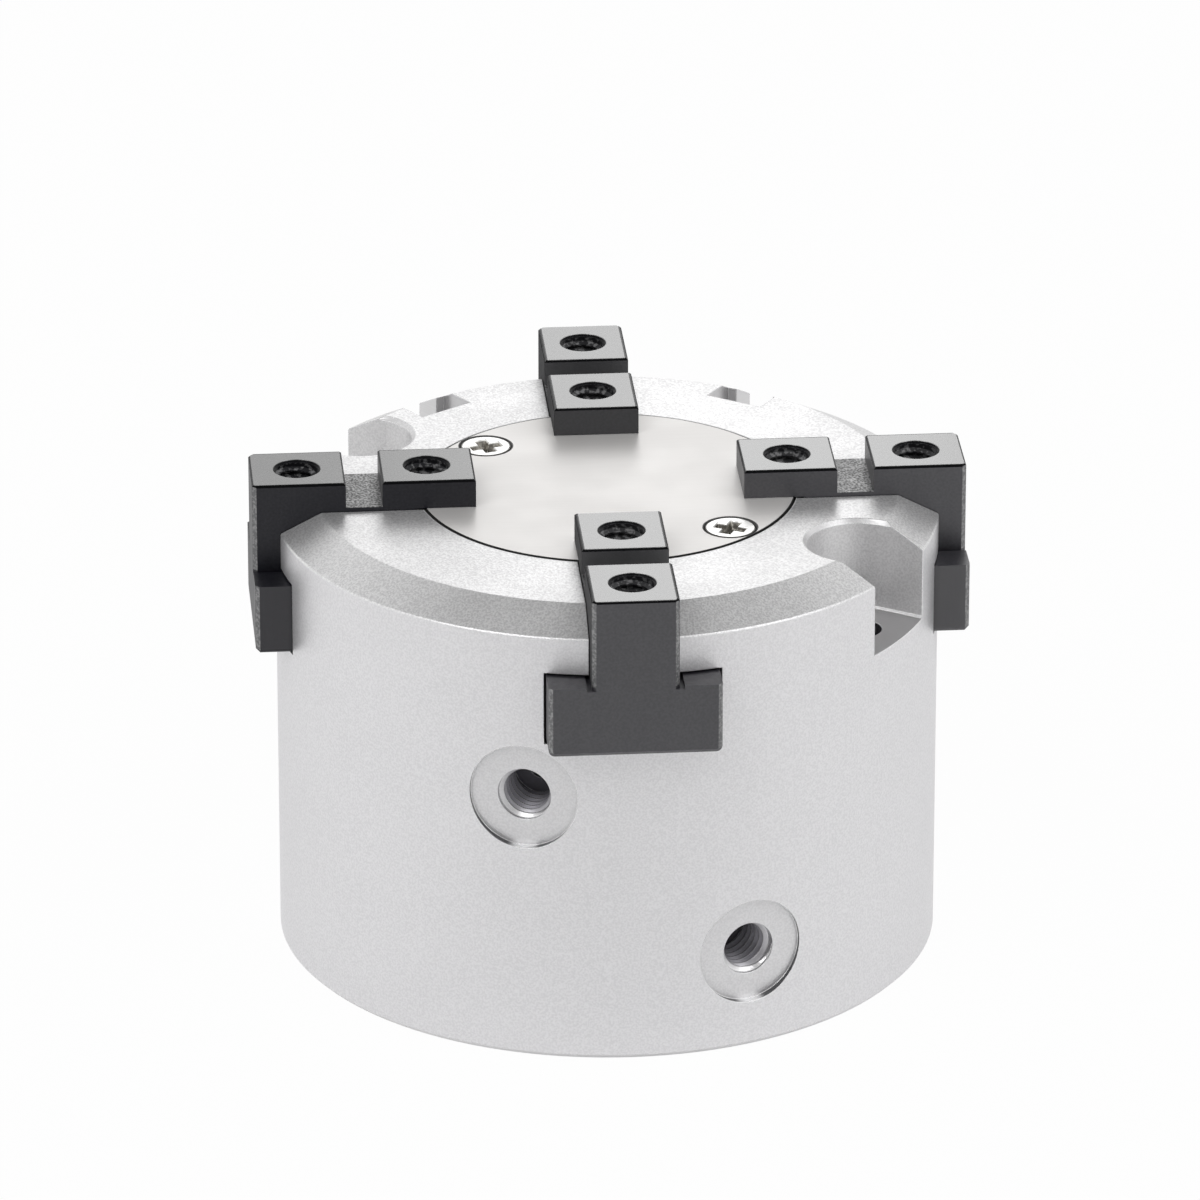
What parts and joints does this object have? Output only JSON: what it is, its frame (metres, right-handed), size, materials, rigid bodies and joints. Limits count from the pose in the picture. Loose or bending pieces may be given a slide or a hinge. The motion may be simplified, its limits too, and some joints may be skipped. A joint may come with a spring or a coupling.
{
  "type": "pneumatic finger gripper",
  "caption": "Round pneumatic gripper: T-shaped fingers slide radially out of a short cylinder, driven together by a piston and wedge cam, to grip a piece from outside or inside.",
  "frame": {"origin": "centre of the foot face, on the body's axis", "axes": "+Z from the foot to the fingers along the body's axis; -Y towards the finger between the two air ports; +X to the right of it"},
  "size_m": [0.0666, 0.0666, 0.0471],
  "materials": {
    "anodised_aluminium": "bead-blasted and clear anodised",
    "brushed_plate": "fine straight grain",
    "bright_screw": "bright plated",
    "cap_aluminium": "turned",
    "seal_rubber": "matte",
    "spring_steel": "phosphated",
    "guide_plastic": "plain",
    "bonded_magnet": "matte",
    "ground_steel": "ground",
    "black_steel": "black oxide, ground faces"
  },
  "bodies": {
    "housing": {"body": "anodised_aluminium", "end_plate": "brushed_plate", "end_plate_screw_front": "bright_screw", "end_plate_screw_rear": "bright_screw", "cylinder_cap": "cap_aluminium", "cap_gasket": "seal_rubber", "cap_retaining_ring": "spring_steel", "rod_seal": "seal_rubber"},
    "piston_group": {"piston": "cap_aluminium", "piston_wear_ring": "guide_plastic", "piston_seal": "seal_rubber", "magnet_ring": "bonded_magnet", "piston_rod": "ground_steel", "rod_gasket": "seal_rubber", "piston_bolt": "black_steel", "bolt_gasket": "seal_rubber", "wedge_cam": "ground_steel"},
    "right_finger": {"finger_right": "black_steel"},
    "back_finger": {"finger_back": "black_steel"},
    "left_finger": {"finger_left": "black_steel"},
    "front_finger": {"finger_front": "black_steel"}
  },
  "joints": [
    {"name": "piston_slide", "type": "slide", "parent": "housing", "child": "piston_group", "axis": [0, 0, 1], "range_m": [0, 0.005]},
    {"name": "right_finger_slide", "type": "slide", "parent": "housing", "child": "right_finger", "axis": [1, 0, 0], "range_m": [0, 0.004]},
    {"name": "back_finger_slide", "type": "slide", "parent": "housing", "child": "back_finger", "axis": [0, 1, 0], "range_m": [0, 0.004]},
    {"name": "left_finger_slide", "type": "slide", "parent": "housing", "child": "left_finger", "axis": [-1, 0, 0], "range_m": [0, 0.004]},
    {"name": "front_finger_slide", "type": "slide", "parent": "housing", "child": "front_finger", "axis": [0, -1, 0], "range_m": [0, 0.004]}
  ],
  "couplings": [
    {"joint": "right_finger_slide", "follows": "piston_slide", "ratio": 0.8},
    {"joint": "back_finger_slide", "follows": "piston_slide", "ratio": 0.8},
    {"joint": "left_finger_slide", "follows": "piston_slide", "ratio": 0.8},
    {"joint": "front_finger_slide", "follows": "piston_slide", "ratio": 0.8}
  ]
}
